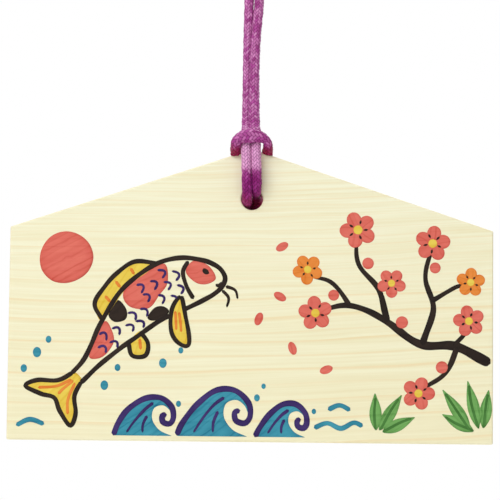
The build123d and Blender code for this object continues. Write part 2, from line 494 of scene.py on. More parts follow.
roof_shade = ease(from_middle, *ROOF_SHADE_START) * ease(from_middle, *ROOF_SHADE_END)
rim_shade = ease(from_apex, *RIM_SHADE) * (1 - RIM_SHADE_LEFT_LESS * ease(line_x, *LEFT_TO_RIGHT[::-1]))
painted_shade = np.maximum(np.maximum(roof_shade, rim_shade), BACK_SHADE * behind)
painted_shade = np.broadcast_to(painted_shade[:, None], stitch_chance.shape)
# Painted highlight: pale where the cord bulges towards the lamp, a little more on the left strand.
highlight_along = ease(from_apex, *LIT_FRONT) * (1 - LIT_TOP_LESS * ease(from_apex, *LIT_TOP))
highlight_along = highlight_along * (1 - BIGHT_LESS * np.exp(-(from_middle / BIGHT_LESS_REACH) ** 8))
highlight_along = (highlight_along * (1 - roof_shade) * (1 - behind) * np.where(on_left, LEFT_MORE, 1.0))[:, None]
highlight_flecks = ease(FLECK_SHARE * highlight_along - np.mod(LUCK_STEP * stitch_chance, 1), *FLECK_EDGE)
highlight_strength = PALE_LEAST + PALE_IN_FRONT * in_front[:, None]
highlight_strength = highlight_strength + (1 - highlight_strength) * np.mod(TONE_STEP * stitch_chance, 1)
painted_highlight = (EVEN_HIGHLIGHT * highlight_along + FLECKED_HIGHLIGHT * highlight_flecks) * highlight_strength
print("mean wear of the whole cord:", round(float(painted_highlight.mean()), 3))

# %% [markdown]
# ## Satin yarn
# The yarn is bright rayon or polyester, spun smooth and dyed purple. Light slides along the thin filaments,
# and their gloss is tinted lilac. The colour is darker where yarns dive under each other and lighter on the
# crowns of the stitches: painted shade and painted highlight over the relief. The colour follows the stitch,
# through attributes that the grid carries: how high a point stands, and how far it is across its yarn. Real
# filaments are about 0.02 mm thick, which no pixel can show, so the streaks are drawn about ten to a yarn.
# Where the painted shade lies, over the roof, in the hole and behind the board, the purple turns wine red.
# A stitch in the painted highlight goes pink first and then a greyed lilac.

# %% Material of the cord
FILAMENT_SHARE = 0.25

braided_yarn, tree = new_material("braided_satin_yarn")
crown_height = add(tree, "Attribute", {}, attribute_name="crown")["Fac"]
stitch_tone = add(tree, "Attribute", {}, attribute_name="tone")["Fac"]
yarn_place = add(tree, "Attribute", {}, attribute_name="yarn_place")["Vector"]
# Shares of painted shade and painted highlight at each point of the cord.
painted_shade_share = add(tree, "Attribute", {}, attribute_name="painted_shade")["Fac"]
highlight_share = add(tree, "Attribute", {}, attribute_name="painted_highlight")["Fac"]
filament = add(tree, "TexNoise", {"Vector": yarn_place, "Scale": 1.0, "Detail": 2.0})["Fac"]
# Crown height sets the colour: darker in the valleys between yarns, lighter on the crowns, as painted shade
# and painted highlight.
depth = add(tree, "MapRange", {"Value": crown_height, "From Min": 0.2, "From Max": 0.8},
            interpolation_type="SMOOTHSTEP")[0]
streak = add(tree, "Mix", {0: FILAMENT_SHARE, 2: depth, 3: filament}, data_type="FLOAT")[0]
purple_with_valley_shade = add(tree, "Mix", {0: streak, 6: linear("#3C0629"), 7: linear("#8E2473")}, data_type="RGBA")[2]
# Wine red stands for painted shade.
wine_shade = add(tree, "Mix", {0: streak, 6: linear("#330412"), 7: linear("#A2184A")}, data_type="RGBA")[2]
dyed_and_shaded = add(tree, "Mix", {0: painted_shade_share, 6: purple_with_valley_shade, 7: wine_shade}, data_type="RGBA")[2]
bright = add(tree, "MapRange", {"Value": stitch_tone, "From Min": 0.2, "From Max": 1.0, "To Max": 0.6})[0]
bright = add(tree, "Math", {0: bright, 1: streak}, operation="MULTIPLY")[0]
# The painted shade also dims the random lighter stitches.
shade_dimming = add(tree, "MapRange", {"Value": painted_shade_share, "To Min": 1.0, "To Max": 0.25})[0]
bright = add(tree, "Math", {0: bright, 1: shade_dimming}, operation="MULTIPLY")[0]
varied = add(tree, "Mix", {0: bright, 6: dyed_and_shaded, 7: linear("#B848A2")}, data_type="RGBA")[2]
# Painted highlight: the stitches go pale pink, then a greyed lilac.
highlight_mix = add(tree, "Math", {0: highlight_share, 1: streak}, operation="MULTIPLY")[0]
highlight_colour = add(tree, "Mix", {0: highlight_share, 6: linear("#F487D8"), 7: linear("#F0B5DF")}, data_type="RGBA")[2]
shade = add(tree, "Mix", {0: highlight_mix, 6: varied, 7: highlight_colour}, data_type="RGBA")[2]
gloss = add(tree, "MapRange", {"Value": filament, "To Min": 0.32, "To Max": 0.5})[0]
ridges = add(tree, "Bump", {"Height": filament, "Strength": 0.25, "Distance": 0.05 * MM})[0]
satin = add(tree, "BsdfPrincipled", {
    "Base Color": shade,
    "Roughness": gloss,
    "Normal": ridges,
    "IOR": 1.55,
    "Specular IOR Level": 0.15,
    "Specular Tint": linear("#EBA5DC"),
})[0]
add(tree, "OutputMaterial", {"Surface": satin})
print("cord material:", braided_yarn.name)

# %% [markdown]
# ## Cutting the cord into pieces that move
# In the real object the cord bends at two places: it flexes just above the hitch when the plaque swings,
# and the two strands wind round each other when it turns. So the one grid is cut into five stretches: the
# hitch, the two rising sides and the two knotted ends. A curve with a bevel would give a tube without
# stitches, so each piece is a mesh from arrays: quads between neighbouring rings, and a fan to one point
# that closes each cut.

# %% Meshes from arrays


def put_attribute(mesh, name, kind, values):
    """Stores one value or vector for each vertex under a name that materials can read."""
    layer = mesh.attributes.new(name, kind, "POINT")
    layer.data.foreach_set("vector" if kind == "FLOAT_VECTOR" else "value", values.astype(np.float32).ravel())


def new_piece(name, points, faces, material):
    """A smooth mesh object at the origin, from vertex and face arrays."""
    mesh = bpy.data.meshes.new(name)
    mesh.from_pydata(points, [], faces)
    mesh.polygons.foreach_set("use_smooth", np.ones(len(mesh.polygons), bool))
    mesh.materials.append(material)
    piece = bpy.data.objects.new(name, mesh)
    scene.collection.objects.link(piece)
    return piece


def tube_faces(rings, columns):
    """Quads of a grid that closes round its columns, and a fan to a pole vertex at each end."""
    at = np.arange(rings * columns).reshape(rings, columns)
    beside = np.roll(at, -1, axis=1)
    quads = np.stack([at[:-1], beside[:-1], beside[1:], at[1:]], axis=-1).reshape(-1, 4).tolist()
    first, last = rings * columns, rings * columns + 1
    start = np.stack([np.full(columns, first), beside[0], at[0]], axis=-1).tolist()
    end = np.stack([np.full(columns, last), at[-1], beside[-1]], axis=-1).tolist()
    return quads + start + end


print("faces of a tube with 3 rings of 8 places:", len(tube_faces(3, 8)))

# %% Cord pieces
SWING_CUT_Z, KNOT_CUT_Z = -42.0 * MM, 3.6 * MM
STREAKS_PER_YARN, STREAKS_PER_MM, FAMILY_APART = 10, 0.7, 5


def cord_piece(name, low, high):
    """The part of the cord's grid from one ring to another, closed at both ends."""
    rings = slice(low, high + 1)
    grid = cord_grid[rings]
    points = np.concatenate([grid.reshape(-1, 3), cord_line[[low, high]]])
    piece = new_piece(name, points, tube_faces(len(grid), AROUND), braided_yarn)
    # The painted highlight and the painted shade go with the stitches as attributes.
    carried = {"tone": stitch_chance, "painted_highlight": painted_highlight, "painted_shade": painted_shade, "crown": stitch_height}
    for layer, values in carried.items():
        put_attribute(piece.data, layer, "FLOAT", np.r_[values[rings].ravel(), 0, 0])
    place = np.stack([
        stitch_across[rings] * STREAKS_PER_YARN,
        np.broadcast_to((cord_run[rings] / MM)[:, None], grid.shape[:2]) * STREAKS_PER_MM,
        np.where(stitch_climbs[rings], 1.0, -1.0) * FAMILY_APART,
    ], axis=-1).reshape(-1, 3)
    put_attribute(piece.data, "yarn_place", "FLOAT_VECTOR", np.concatenate([place, np.zeros((2, 3))]))
    print(name, "rings:", len(grid), "length in mm:", round((cord_run[high] - cord_run[low]) / MM, 1))
    return piece


def crossings(height):
    """Rings where the line passes a height."""
    return np.nonzero(np.diff(np.sign(cord_line[:, 2] - height)))[0]


hitch_start, hitch_end = crossings(SWING_CUT_Z)[[0, -1]]
knot_crossings = crossings(KNOT_CUT_Z)
right_top = knot_crossings[knot_crossings < hitch_start].max()
left_top = knot_crossings[knot_crossings > hitch_end].min()
last_ring = len(cord_line) - 1

braid_hitch = cord_piece("braid_hitch", hitch_start, hitch_end)
braid_rise_right = cord_piece("braid_rise_right", right_top, hitch_start)
braid_rise_left = cord_piece("braid_rise_left", hitch_end, left_top)
braid_knot_right = cord_piece("braid_knot_right", 0, right_top)
braid_knot_left = cord_piece("braid_knot_left", left_top, last_ring)

# %% [markdown]
# ## Tying the pieces to the bodies
# The CAD tubes of the cord are hidden. The hitch and the rising sides are left where they lie, and the
# knotted ends go with the hanger. The stretch over which the hitch would flex, a few diameters of cord, and
# the one over which the rising sides would wind round each other are only measured and printed, as is the
# thickness of each stretch.

# %% Cord pieces ride
FLEX_LOW, FLEX_HIGH = -57.6 * MM, -42.4 * MM
TWIST_LOW, TWIST_HIGH = -41.6 * MM, -13.0 * MM

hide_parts("hitch")
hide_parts("strand_right", "eye_right")
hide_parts("strand_left", "eye_left")
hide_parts("knot_right")
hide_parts("knot_left")

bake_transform(braid_hitch)
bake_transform(braid_rise_right)
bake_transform(braid_rise_left)
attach(braid_knot_right, "hanger")
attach(braid_knot_left, "hanger")
flexing, twisting = (FLEX_HIGH - FLEX_LOW) / MM, (TWIST_HIGH - TWIST_LOW) / MM
print("cord flexes over mm:", round(flexing, 1), "and twists over mm:", round(twisting, 1))

# %% Thickness of the cord pieces
SLACK_DIAMETER, TIGHT_DIAMETER = 3.0 * MM, 2.4 * MM


def declare_cord(piece, low, high, diameter, from_high):
    """Prints how thick a stretch of cord is. Its path, which starts at the end on the object, is worked out
    but not used.
    """
    path = cord_line[low:high + 1]
    path = path[::-1] if from_high else path
    print(piece.name, "declared, diameter in mm:", round(diameter / MM, 1))


declare_cord(braid_hitch, hitch_start, hitch_end, SLACK_DIAMETER, False)
declare_cord(braid_rise_right, right_top, hitch_start, SLACK_DIAMETER, True)
declare_cord(braid_rise_left, hitch_end, left_top, SLACK_DIAMETER, False)
declare_cord(braid_knot_right, 0, right_top, TIGHT_DIAMETER, True)
declare_cord(braid_knot_left, left_top, last_ring, TIGHT_DIAMETER, False)

# %% [markdown]
# ## Grain of softwood
# The board is a light conifer such as spruce or fir, sawn with the grain across the width. Each year adds a
# wide pale band and a thin tan line, and on a face cut this way the lines run nearly level. A picture of
# wood would show the same lines on every side. Real wood is solid, so the pattern is too: rings round a
# pith that lies behind and below the board, and every face cuts through the same rings. Rings near the pith
# are wide, and the later ones near the apex are narrow.

# %% Grain nodes
PITH_Y, PITH_Z = 60.0, -245.0
GRAIN_RISE, GRAIN_BEND = 0.03, 0.0003
WANDER, WANDER_SIZE = 4.0, np.array([80.0, 40.0, 14.0])
WIDE_RING, RING_SHRINK, FIRST_RING = 6.4, 55.0, 105.0
UNEVEN_YEARS = 0.6
FIBRE_SIZE = np.array([55.0, 1.6, 1.0])


def grain(tree):
    """Solid grain in mm: year lines and fibre streaks from 0 to 1, and the distance from the pith."""
    metres = add(tree, "TexCoord", {})["Object"]
    place = add(tree, "VectorMath", {0: metres, "Scale": 1 / MM}, operation="SCALE")[0]
    slow = add(tree, "VectorMath", {0: place, 1: tuple(1 / WANDER_SIZE)}, operation="MULTIPLY")[0]
    wander = add(tree, "TexNoise", {"Vector": slow, "Scale": 1.0, "Detail": 2.0})["Fac"]
    axis = add(tree, "SeparateXYZ", {"Vector": place})
    rise = add(tree, "Math", {0: axis["X"], 1: GRAIN_BEND, 2: GRAIN_RISE}, operation="MULTIPLY_ADD")[0]
    rise = add(tree, "Math", {0: axis["X"], 1: rise}, operation="MULTIPLY")[0]
    level = add(tree, "Math", {0: axis["Z"], 1: rise}, operation="SUBTRACT")[0]
    level = add(tree, "Math", {0: wander, 1: WANDER, 2: level}, operation="MULTIPLY_ADD")[0]
    across = add(tree, "CombineXYZ", {"Y": axis["Y"], "Z": level})[0]
    reach = add(tree, "VectorMath", {0: across, 1: (0, PITH_Y, PITH_Z)}, operation="DISTANCE")["Value"]
    grown = {0: reach, 1: 1 / RING_SHRINK, 2: -FIRST_RING / RING_SHRINK}
    grown = add(tree, "Math", grown, operation="MULTIPLY_ADD")[0]
    years = add(tree, "Math", {0: grown}, operation="EXPONENT")[0]
    years = add(tree, "Math", {0: years, 1: RING_SHRINK / WIDE_RING}, operation="MULTIPLY")[0]
    weather = add(tree, "TexNoise", {"W": years, "Scale": 0.8, "Detail": 1.0}, noise_dimensions="1D")["Fac"]
    years = add(tree, "Math", {0: weather, 1: UNEVEN_YEARS, 2: years}, operation="MULTIPLY_ADD")[0]
    season = add(tree, "Math", {0: years}, operation="FRACT")[0]
    year = add(tree, "Math", {0: years}, operation="FLOOR")[0]
    strength = add(tree, "TexWhiteNoise", {"W": year}, noise_dimensions="1D")["Value"]
    strength = add(tree, "MapRange", {"Value": strength, "To Min": 0.2, "To Max": 1.0})[0]
    darkening = add(tree, "MapRange", {"Value": season, "From Min": 0.74, "From Max": 0.95},
                    interpolation_type="SMOOTHSTEP")[0]
    winter = {"Value": season, "From Min": 0.955, "From Max": 1.0, "To Min": 1.0, "To Max": 0.0}
    stop = add(tree, "MapRange", winter, interpolation_type="SMOOTHSTEP")[0]
    line = add(tree, "Math", {0: darkening, 1: stop}, operation="MULTIPLY")[0]
    line = add(tree, "Math", {0: line, 1: strength}, operation="MULTIPLY")[0]
    along = add(tree, "CombineXYZ", {"X": axis["X"], "Y": axis["Y"], "Z": level})[0]
    along = add(tree, "VectorMath", {0: along, 1: tuple(1 / FIBRE_SIZE)}, operation="MULTIPLY")[0]
    fibre = add(tree, "TexNoise", {"Vector": along, "Scale": 1.0, "Detail": 3.0, "Roughness": 0.6})["Fac"]
    return line, fibre, reach


board_heights = np.array([cad_box[0][2] / MM, APEX_Z])
ring_width = WIDE_RING * np.exp((FIRST_RING - np.hypot(PITH_Y, board_heights - PITH_Z)) / RING_SHRINK)
print("width of a year at the foot and the apex, in mm:", np.round(ring_width, 1).tolist())

# %% [markdown]
# ## Planed softwood
# Planing leaves a smooth matt face on which the late wood stands a little proud. The eye sees cream early
# wood, tan lines that are clearer near the pith, and fine streaks of fibre. End grain on the short sides
# drinks more light, so it is a little darker.

# %% Material of the board
END_DARKER, LATE_PROUD = 0.35, 0.6

planed_softwood, tree = new_material("planed_softwood")
year_line, fibre, reach = grain(tree)
near_pith = {"Value": reach, "From Min": 110.0, "From Max": 190.0, "To Min": 1.0, "To Max": 0.0}
heart = add(tree, "MapRange", near_pith)[0]
facing = add(tree, "SeparateXYZ", {"Vector": add(tree, "TexCoord", {})["Normal"]})["X"]
ends = add(tree, "Math", {0: facing}, operation="ABSOLUTE")[0]
early = add(tree, "Mix", {0: heart, 6: linear("#F6F4D8"), 7: linear("#F6F0CC")}, data_type="RGBA")[2]
fibre_share = add(tree, "MapRange", {"Value": fibre, "From Min": 0.35, "From Max": 0.75, "To Max": 0.8})[0]
streaked = add(tree, "Mix", {0: fibre_share, 6: early, 7: linear("#ECE2B6")}, data_type="RGBA")[2]
clear = add(tree, "MapRange", {"Value": heart, "To Min": 0.28, "To Max": 0.62})[0]
late_share = add(tree, "Math", {0: year_line, 1: clear}, operation="MULTIPLY")[0]
late = add(tree, "Mix", {0: late_share, 6: streaked, 7: linear("#EED297")}, data_type="RGBA")[2]
end_share = add(tree, "Math", {0: ends, 1: END_DARKER}, operation="MULTIPLY")[0]
face = add(tree, "Mix", {0: end_share, 6: late, 7: linear("#E4D3AA")}, data_type="RGBA")[2]
planing = add(tree, "MapRange", {"Value": fibre, "To Min": 0.5, "To Max": 0.68})[0]
raised = add(tree, "Math", {0: year_line, 1: LATE_PROUD, 2: fibre}, operation="MULTIPLY_ADD")[0]
planed = add(tree, "Bump", {"Height": raised, "Strength": 0.3, "Distance": 0.04 * MM})[0]
wood = add(tree, "BsdfPrincipled", {
    "Base Color": face,
    "Roughness": planing,
    "Normal": planed,
    "IOR": 1.45,
    "Specular IOR Level": 0.35,
})[0]
add(tree, "OutputMaterial", {"Surface": wood})
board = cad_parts["board"]
board.material_slots[0].material = planed_softwood
print("wood on:", board.name)

# %% [markdown]
# ## Felt-pen ink
# The face carries a drawing in felt pen, as such plaques do. Ink soaks into planed wood: the grain still
# shows, the colour is deeper where the pen went twice and where it stopped, and a filled area keeps the
# lanes of the pen. A picture file would be one way. Here every mark is a thin closed film of its own, 0.03
# to 0.09 mm proud of the wood, because a film keeps a clean edge at any size and goes into the exported
# model. Real ink has no thickness to see.

# %% Felt inks
LANE_MM, LANE_WOBBLE = 1.7, 1.6
PATCH_SIZE = np.array([9.0, 2.4, 1.0])
RIM_DEEPER, FIBRE_DEEPER, LINE_DEEPER, THINNER = 0.4, 0.35, 0.3, -0.15


def felt_ink(name, thin, deep):
    """Felt ink on softwood: thin, and deeper where lanes overlap, at the rim and in the grain."""
    material, tree = new_material(name)
    pen = add(tree, "Attribute", {}, attribute_name="pen_place")["Vector"]
    rim = add(tree, "Attribute", {}, attribute_name="rim")["Fac"]
    year_line, fibre = grain(tree)[:2]
    patchy = add(tree, "VectorMath", {0: pen, 1: tuple(1 / PATCH_SIZE)}, operation="MULTIPLY")[0]
    patchy = add(tree, "TexNoise", {"Vector": patchy, "Scale": 1.0, "Detail": 2.0})["Fac"]
    across = add(tree, "SeparateXYZ", {"Vector": pen})["Y"]
    wobble = add(tree, "Math", {0: patchy, 1: LANE_WOBBLE}, operation="MULTIPLY")[0]
    lane = add(tree, "Math", {0: across, 1: 1 / LANE_MM, 2: wobble}, operation="MULTIPLY_ADD")[0]
    number = add(tree, "Math", {0: lane}, operation="FLOOR")[0]
    wetness = add(tree, "TexWhiteNoise", {"W": number}, noise_dimensions="1D")["Value"]
    lane = add(tree, "Math", {0: lane}, operation="FRACT")[0]
    doubled = add(tree, "MapRange", {"Value": lane, "From Min": 0.6, "From Max": 0.86, "To Max": 0.45},
                  interpolation_type="SMOOTHSTEP")[0]
    doubled = add(tree, "Math", {0: doubled, 1: wetness}, operation="MULTIPLY")[0]
    tone = {"Value": patchy, "From Min": 0.25, "From Max": 0.75, "To Min": 0.05, "To Max": 0.5}
    tone = add(tree, "MapRange", tone)[0]
    tone = add(tree, "Math", {0: tone, 1: doubled}, operation="ADD")[0]
    for place, deeper in ((rim, RIM_DEEPER), (fibre, FIBRE_DEEPER), (year_line, LINE_DEEPER)):
        tone = add(tree, "Math", {0: place, 1: deeper, 2: tone}, operation="MULTIPLY_ADD")[0]
    tone = add(tree, "Math", {0: tone, 1: THINNER}, operation="ADD", use_clamp=True)[0]
    colour = add(tree, "Mix", {0: tone, 6: linear(thin), 7: linear(deep)}, data_type="RGBA")[2]
    matt = add(tree, "MapRange", {"Value": fibre, "To Min": 0.5, "To Max": 0.66})[0]
    raised = add(tree, "Bump", {"Height": fibre, "Strength": 0.25, "Distance": 0.03 * MM})[0]
    dried = add(tree, "BsdfPrincipled", {
        "Base Color": colour,
        "Roughness": matt,
        "Normal": raised,
        "IOR": 1.45,
        "Specular IOR Level": 0.15,
    })[0]
    add(tree, "OutputMaterial", {"Surface": dried})
    return material


print("pen lanes in mm:", LANE_MM)

# %% Eight inks
violet_ink = felt_ink("felt_ink_violet", "#463671", "#2C1C52")
coral_ink = felt_ink("felt_ink_coral", "#E4796A", "#CC5145")
orange_ink = felt_ink("felt_ink_orange", "#EC9446", "#D86E20")
yellow_ink = felt_ink("felt_ink_yellow", "#EDD55E", "#DBB130")
teal_ink = felt_ink("felt_ink_teal", "#459DB1", "#1D6E88")
green_ink = felt_ink("felt_ink_green", "#80B968", "#477C37")
deep_green_ink = felt_ink("felt_ink_deep_green", "#4F8440", "#39682D")
brown_ink = felt_ink("felt_ink_brown", "#332720", "#191210")
print("felt inks:", [name for name in bpy.data.materials.keys() if name.startswith("felt")])

# %% [markdown]
# ## Places on the face
# The face is measured in millimetres, across from the middle and up from the foot. A hand draws smooth
# curves through a few places, so each line and each outline is a Catmull-Rom curve through the places that
# are given. Every mark becomes a grid that is closed below, a little inside the wood.

# %% Curves through places
PLACES_PER_RUN = 16


def through(points, closed=False):
    """Catmull-Rom curve: each run is a cubic whose end slopes are half the chord of its neighbours."""
    given = np.array(points, float)
    if closed:
        ring = np.concatenate([given[-1:], given, given[:2]])
    else:
        ring = np.concatenate([2 * given[:1] - given[1:2], given, 2 * given[-1:] - given[-2:-1]])
    t = np.linspace(0, 1, PLACES_PER_RUN, endpoint=False)[None, :, None]
    a, b, c, d = (ring[at:len(ring) - 3 + at, None, :] for at in range(4))
    cubic = 2 * b + (c - a) * t + (2 * a - 5 * b + 4 * c - d) * t**2 + (3 * b - a - 3 * c + d) * t**3
    return np.concatenate([0.5 * cubic.reshape(-1, given.shape[1]), ring[-2:-1]])


print("points of a curve through three places:", len(through([(0, 0), (1, 1), (2, 0)])))

# %% Places on the face
FOOT_Z, FACE_Y = -155.0, -3.0


def on_face(flat, lift):
    """Places on the front face, in mm, lifted off the wood, as points of the frame in metres."""
    depth = np.broadcast_to(FACE_Y - np.asarray(lift, float), flat.shape[:-1])
    return np.stack([flat[..., 0], depth, FOOT_Z + flat[..., 1]], axis=-1) * MM


def closed_part(grid, start, end, rim, place):
    """A grid that closes round its columns, with a pole at each end, and faces that look outwards."""
    points = np.concatenate([grid.reshape(-1, 3), start[None], end[None]])
    faces = tube_faces(*grid.shape[:2])
    corners = points[np.array([(face[0], face[1], face[-2]) for face in faces])] - points.mean(0)
    volume = (corners[:, 0] * np.cross(corners[:, 1], corners[:, 2])).sum()
    faces = faces if volume > 0 else [face[::-1] for face in faces]
    ends = [rim[0, 0], rim[-1, 0]]
    return points, faces, np.r_[rim.ravel(), ends], np.concatenate([place.reshape(-1, 3), place[[0, -1], 0]])


print("front face at mm:", FACE_Y, "from foot at mm:", FOOT_Z)

# %% [markdown]
# ## The pen itself
# A felt tip lays a stripe with round ends, which wavers a little as the hand does and is darkest along its
# rim. A flat lens section carried along the curve makes it. An area is filled by many such stripes side by
# side, its lanes, and is a grid from the middle of its outline to its edge. So each mark carries two
# measures for the ink: how near its rim a point is, and the place along and across the lanes.

# %% Pen lines
INK_SINK = 0.02
FILL_LIFT, BRANCH_LIFT, OVER_LIFT, LINE_LIFT, TOP_LIFT = 0.03, 0.04, 0.055, 0.065, 0.08
PEN_STEP = 0.5
WAVER, WAVER_ACROSS, WAVER_UP = 0.18, 0.31, 0.27
SWELL, SWELL_STEP = 0.06, 0.7
LINE_LANE, LINE_TIP, END_RIM, MARK_APART = 0.15, 0.002, 0.8, 7.3
SECTION_ACROSS = np.array([-1, -0.9, -0.5, 0, 0.5, 0.9, 1, 1, 0, -1.0])
SECTION_LIFT = np.array([0.5, 0.9, 1, 1, 1, 0.9, 0.5, 0, 0, 0])


def film(path, half, lift, rim, place):
    """A thin closed film: a flat lens section, half to each side of a path, and back inside the wood."""
    flat = path[:, None, :] + SECTION_ACROSS[None, :, None] * half[:, None, :]
    rise = np.where(SECTION_LIFT > 0, lift * SECTION_LIFT, -INK_SINK)[None, :]
    grid = on_face(flat, np.broadcast_to(rise, flat.shape[:2]))
    return closed_part(grid, on_face(path[0], lift), on_face(path[-1], lift), rim, place)


def pen_line(points, width, lift=LINE_LIFT, closed=False, taper=(1.0, 1.0), seed=0.0):
    """A pen line: section half-width w(s), rounded at both ends as sqrt(1 - (1 - s / w)^2)."""
    path = evenly(through(points, closed), PEN_STEP)
    run = lengths_along(path)
    waver = np.stack([np.sin(WAVER_ACROSS * run + seed), np.sin(WAVER_UP * run + 2 * seed)], axis=1)
    path = path + WAVER * waver
    along = np.gradient(path, axis=0)
    along /= np.linalg.norm(along, axis=1, keepdims=True)
    square = np.stack([-along[:, 1], along[:, 0]], axis=1)
    half = width / 2 * np.interp(run, [0, run[-1]], taper) * (1 + SWELL * np.sin(SWELL_STEP * run + 3 * seed))
    from_end = np.minimum(run, run[-1] - run)
    half = half * np.sqrt(np.clip(1 - (1 - np.clip(from_end / half, 0, 1)) ** 2, LINE_TIP, 1))
    rim = np.broadcast_to(np.abs(SECTION_ACROSS) ** 4, (len(path), len(SECTION_ACROSS)))
    rim = np.maximum(rim, (1 - np.clip(from_end / width, 0, 1))[:, None] * END_RIM)
    place = np.stack([
        np.broadcast_to(run[:, None], rim.shape),
        np.broadcast_to(LINE_LANE * SECTION_ACROSS[None, :], rim.shape),
        np.full(rim.shape, MARK_APART * seed),
    ], axis=-1)
    return film(path, half[:, None] * square, lift, rim, place)


print("pen section has", len(SECTION_ACROSS), "points")

# %% Pen fills
FILL_SHARE = np.array([0.2, 0.45, 0.7, 0.9, 1.0, 1.0, 0.5])
FILL_RISE = np.array([1, 1, 1, 0.95, 0.5, 0, 0])


def turned_by(shape, degrees):
    """Places turned about the face's zero: (x cos - h sin, x sin + h cos)."""
    cos, sin = np.cos(np.radians(degrees)), np.sin(np.radians(degrees))
    return np.asarray(shape) @ np.array([(cos, sin), (-sin, cos)])


def pen_lanes(flat, lanes, seed):
    """Places along and across the pen's lanes, which are turned by an angle, and a number for this mark."""
    number = np.full((*flat.shape[:-1], 1), MARK_APART * seed)
    return np.concatenate([turned_by(flat, -lanes), number], axis=-1)


def pen_band(one_edge, other_edge, lift=FILL_LIFT, lanes=0.0, seed=0.0):
    """A filled band between two edges: at each share of its length it reaches from the one to the other."""
    one, other = through(one_edge), through(other_edge)
    path, half = (one + other) / 2, (other - one) / 2
    flat = path[:, None, :] + SECTION_ACROSS[None, :, None] * half[:, None, :]
    rim = np.broadcast_to(np.abs(SECTION_ACROSS) ** 8, flat.shape[:2])
    return film(path, half, lift, rim, pen_lanes(flat, lanes, seed))


def pen_fill(outline, lift=FILL_LIFT, lanes=0.0, seed=0.0):
    """A filled outline: rings at growing shares of the way from middle to edge, and back underneath."""
    edge = evenly(through(outline, closed=True), PEN_STEP)[:-1]
    middle = edge.mean(0)
    flat = middle + FILL_SHARE[:, None, None] * (edge - middle)[None]
    rise = np.where(FILL_RISE > 0, lift * FILL_RISE, -INK_SINK)[:, None]
    grid = on_face(flat, np.broadcast_to(rise, flat.shape[:2]))
    rim = np.broadcast_to((FILL_SHARE**8)[:, None], flat.shape[:2])
    place = pen_lanes(flat, lanes, seed)
    return closed_part(grid, on_face(middle, lift), on_face(middle, -INK_SINK), rim, place)


print("a fill has", len(FILL_SHARE), "rings")

# %% Ink pieces


def ink_piece(name, marks, ink):
    """All marks of one colour and motif as one piece, each a hair above the last, so none share a face."""
    starts = np.cumsum([0] + [len(mark[0]) for mark in marks])
    hair = [INK_SINK * MM * at / len(marks) for at in range(len(marks))]
    points = np.concatenate([mark[0] - (0, rise, 0) for mark, rise in zip(marks, hair)])
    faces = [[corner + start for corner in face] for mark, start in zip(marks, starts) for face in mark[1]]
    piece = new_piece(name, points, faces, ink)
    put_attribute(piece.data, "rim", "FLOAT", np.concatenate([mark[2] for mark in marks]))
    put_attribute(piece.data, "pen_place", "FLOAT_VECTOR", np.concatenate([mark[3] for mark in marks]))
    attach(piece, "plaque")
    print(name, "marks:", len(marks), "faces:", len(faces))


print("films reach into the wood by mm:", INK_SINK)

# %% [markdown]
# ## A leaping carp
# The main motif is a carp that leaps out of the water. Its body is a strip round a curved backbone: a place
# on it is a share of the way from tail to nose, and a share of the way from backbone to back or belly.
# Outline, patches, scales and fins are all given in these two shares, so they bend with the fish.

# %% Places on the carp
BACKBONE_PLACES = [(-54, 19), (-47.5, 26), (-40.5, 35.5), (-31.5, 44), (-20.5, 49.3), (-8, 50.2)]
BACKBONE_STEP = 0.25
BACKBONE = evenly(through(BACKBONE_PLACES), BACKBONE_STEP)
BACKBONE_SHARE = lengths_along(BACKBONE) / lengths_along(BACKBONE)[-1]
GIRTH = through([
    (0, 1.9), (0.12, 2.5), (0.3, 4.9), (0.5, 7.4), (0.68, 8.2),
    (0.82, 7.3), (0.92, 5.2), (0.975, 3.0), (1, 0.3),
])
TAIL_LEAN = 47.0


def on_carp(places):
    """Face places of (share tail to nose, -1 belly to 1 back): backbone + share x half girth x normal."""
    share, across = np.array(places, float).T
    spine = np.stack([np.interp(share, BACKBONE_SHARE, BACKBONE[:, axis]) for axis in (0, 1)], axis=1)
    slope = np.gradient(BACKBONE, axis=0)
    slope /= np.linalg.norm(slope, axis=1, keepdims=True)
    lean = np.stack([np.interp(share, BACKBONE_SHARE, slope[:, axis]) for axis in (0, 1)], axis=1)
    half = np.interp(share, GIRTH[:, 0], GIRTH[:, 1]) * across
    return spine + half[:, None] * np.stack([-lean[:, 1], lean[:, 0]], axis=1)


def on_tail(places):
    """Face places of the tail fin, which leans as the backbone does at its root."""
    return turned_by(places, TAIL_LEAN) + BACKBONE[0]


print("carp's length in mm:", round(lengths_along(BACKBONE)[-1], 1))

# %% Carp colours
BREAST_LIFT, BREAST_LINE = 0.072, 0.09

tail_edge = on_tail([
    (0.9, 2.0), (-4, 3.6), (-8.5, 8), (-12.5, 9.6), (-10.8, 4.6), (-8.6, 0.6),
    (-10.4, -3.6), (-11.8, -9), (-8, -7.6), (-4, -3.6), (0.9, -2.0),
])
back_fin = on_carp([
    (0.33, 0.95), (0.36, 1.75), (0.44, 1.72), (0.52, 1.66), (0.61, 1.5), (0.69, 1.0), (0.52, 0.9),
])
breast_fin = on_carp([(0.74, -0.5), (0.72, -1.3), (0.64, -2.25), (0.57, -2.1), (0.58, -1.55), (0.66, -0.75)])
belly_fin = on_carp([(0.42, -0.9), (0.4, -1.6), (0.32, -2.3), (0.27, -1.95), (0.32, -1.1)])
coral_patches = [
    ([(0.95, 0.1), (0.91, 0.8), (0.84, 0.86), (0.8, 0.4), (0.84, -0.1), (0.9, -0.25)], 10),
    ([(0.72, 0.9), (0.62, 0.92), (0.5, 0.9), (0.47, 0.3), (0.54, -0.3), (0.63, -0.1), (0.7, 0.2)], 30),
    ([(0.33, 0.85), (0.2, 0.85), (0.13, 0.5), (0.18, -0.5), (0.27, -0.4), (0.32, 0.2)], 45),
]
